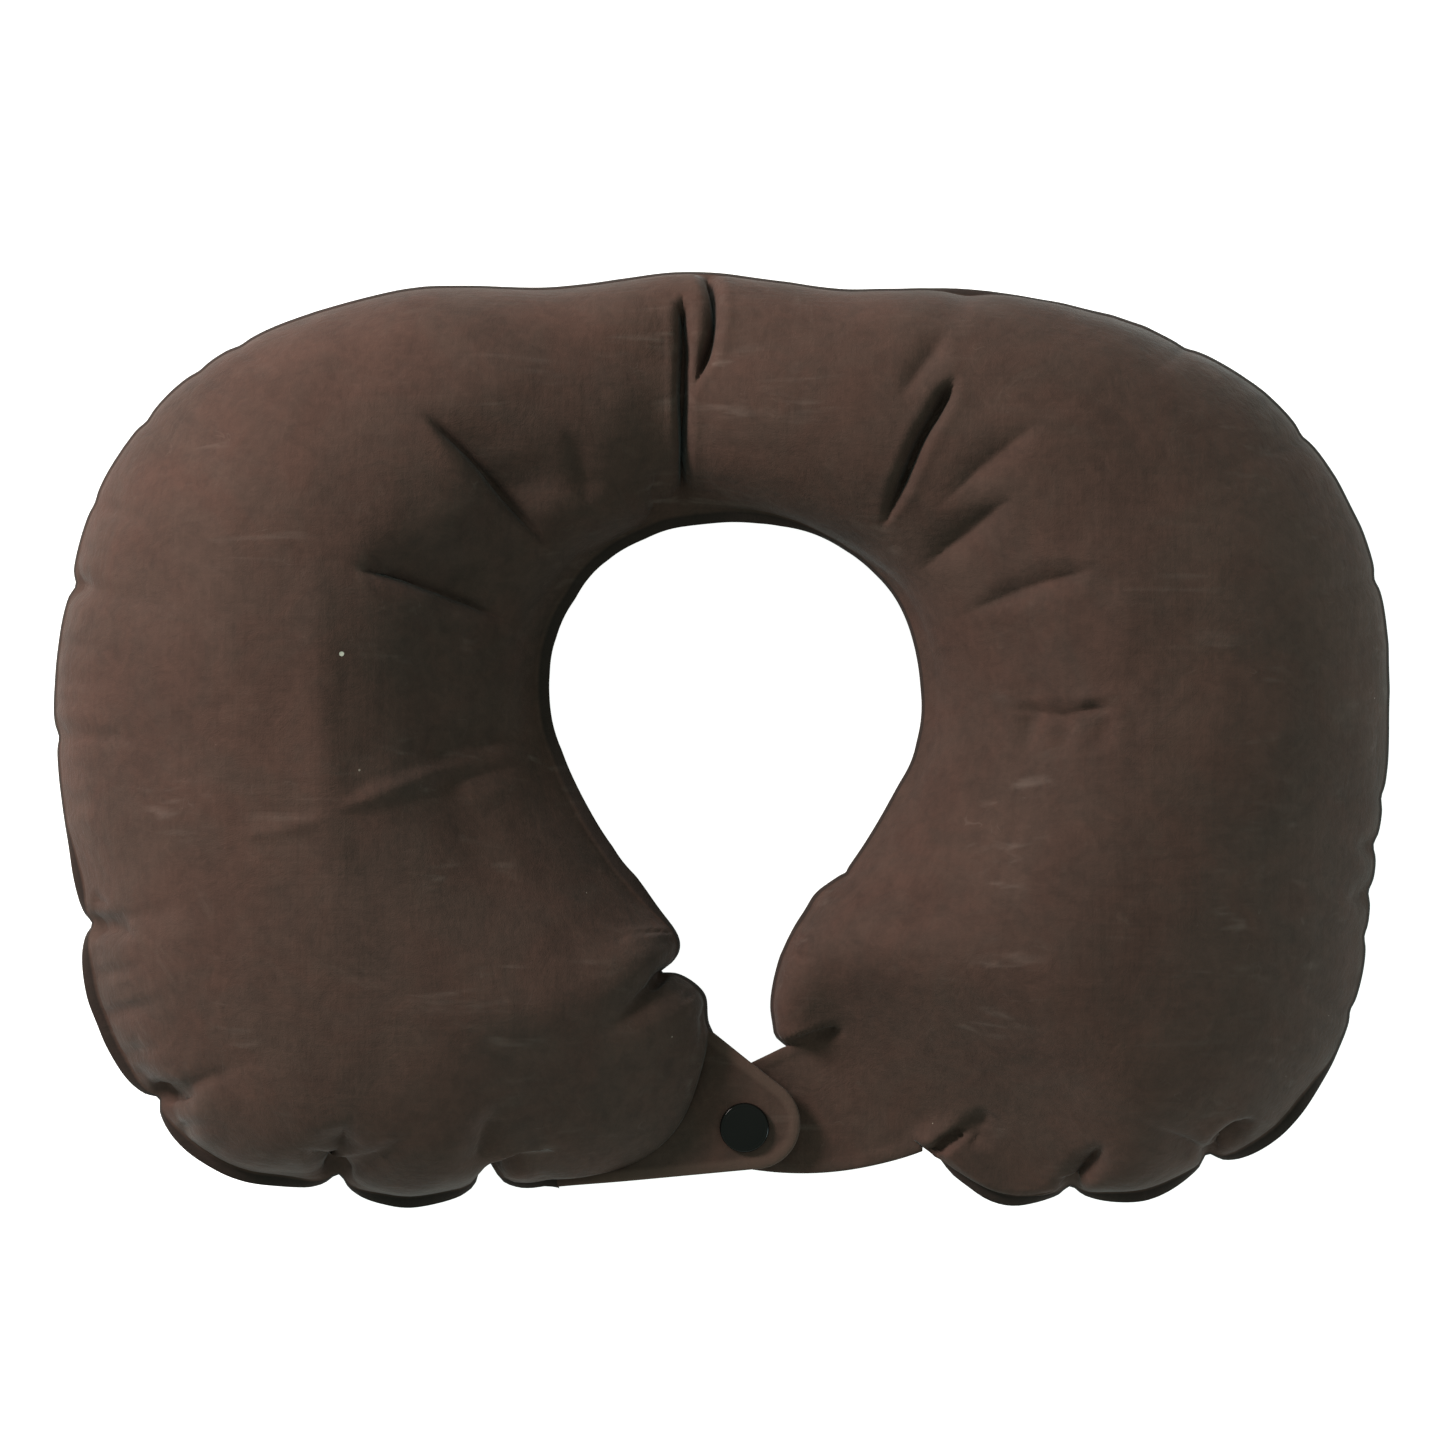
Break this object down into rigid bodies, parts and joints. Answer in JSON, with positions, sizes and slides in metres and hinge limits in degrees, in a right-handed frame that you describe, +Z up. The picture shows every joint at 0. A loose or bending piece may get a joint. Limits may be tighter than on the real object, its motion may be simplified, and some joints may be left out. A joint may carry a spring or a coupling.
{
  "type": "u shaped neck pillow",
  "caption": "Inflatable U shaped travel neck pillow of flocked film, with a press stud tab closure at the front and a push-in valve low on the back.",
  "frame": {"origin": "centre of the plan's bounding box, on the surface that the pillow lies on", "axes": "+X along the length, to the wearer's left; +Y to the back of the neck, away from the tabs; +Z up, through the thickness"},
  "size_m": [0.41, 0.286, 0.098],
  "materials": {
    "flocked_pvc": "matt dark brown flocking",
    "black_enamel": "gloss black enamel",
    "stud_metal": "satin nickel plate",
    "valve_pvc": "soft semi-gloss PVC"
  },
  "bodies": {
    "right_half": {"upper_panel_right": "flocked_pvc", "lower_panel_right": "flocked_pvc", "valve_flange": "valve_pvc"},
    "left_half": {"upper_panel_left": "flocked_pvc", "lower_panel_left": "flocked_pvc"},
    "left_tab": {"left_tab_top_ply": "flocked_pvc", "left_tab_bottom_ply": "flocked_pvc", "snap_cap": "black_enamel", "snap_socket": "stud_metal", "snap_spring": "stud_metal"},
    "right_tab": {"right_tab_top_ply": "flocked_pvc", "right_tab_bottom_ply": "flocked_pvc", "snap_stud": "stud_metal", "snap_eyelet": "stud_metal"},
    "valve_stem": {"valve_stem": "valve_pvc", "stopper_strap": "valve_pvc"},
    "valve_stopper": {"valve_stopper": "valve_pvc"},
    "valve_flap": {"valve_flap": "valve_pvc"}
  },
  "joints": [
    {"name": "arm_twist", "type": "hinge", "parent": "right_half", "child": "left_half", "pos_m": [-0.008, 0.104, 0.048], "axis": [-1, 0, 0], "range_deg": [0, 30]},
    {"name": "left_tab_peel", "type": "hinge", "parent": "left_half", "child": "left_tab", "pos_m": [-0.0264, -0.11411, 0.04895], "axis": [-0.7147, -0.6995, 0], "range_deg": [0, 75]},
    {"name": "right_tab_flex", "type": "hinge", "parent": "right_half", "child": "right_tab", "pos_m": [0.0399, -0.11261, 0.04705], "axis": [0.7653, -0.6437, 0], "range_deg": [0, 40], "stiffness_Nm_per_rad": 0.05},
    {"name": "valve_pop", "type": "slide", "parent": "right_half", "child": "valve_stem", "axis": [0.0153, 0.8212, -0.5705], "range_m": [0, 0.008]},
    {"name": "stopper_open", "type": "hinge", "parent": "valve_stem", "child": "valve_stopper", "pos_m": [0.05952, 0.12908, 0.01739], "axis": [0.0983, 0.5665, 0.8182], "range_deg": [0, 150]},
    {"name": "flap_open", "type": "hinge", "parent": "valve_stem", "child": "valve_flap", "pos_m": [0.06227, 0.11615, 0.02601], "axis": [-0.0983, -0.5665, -0.8182], "range_deg": [0, 30]}
  ]
}
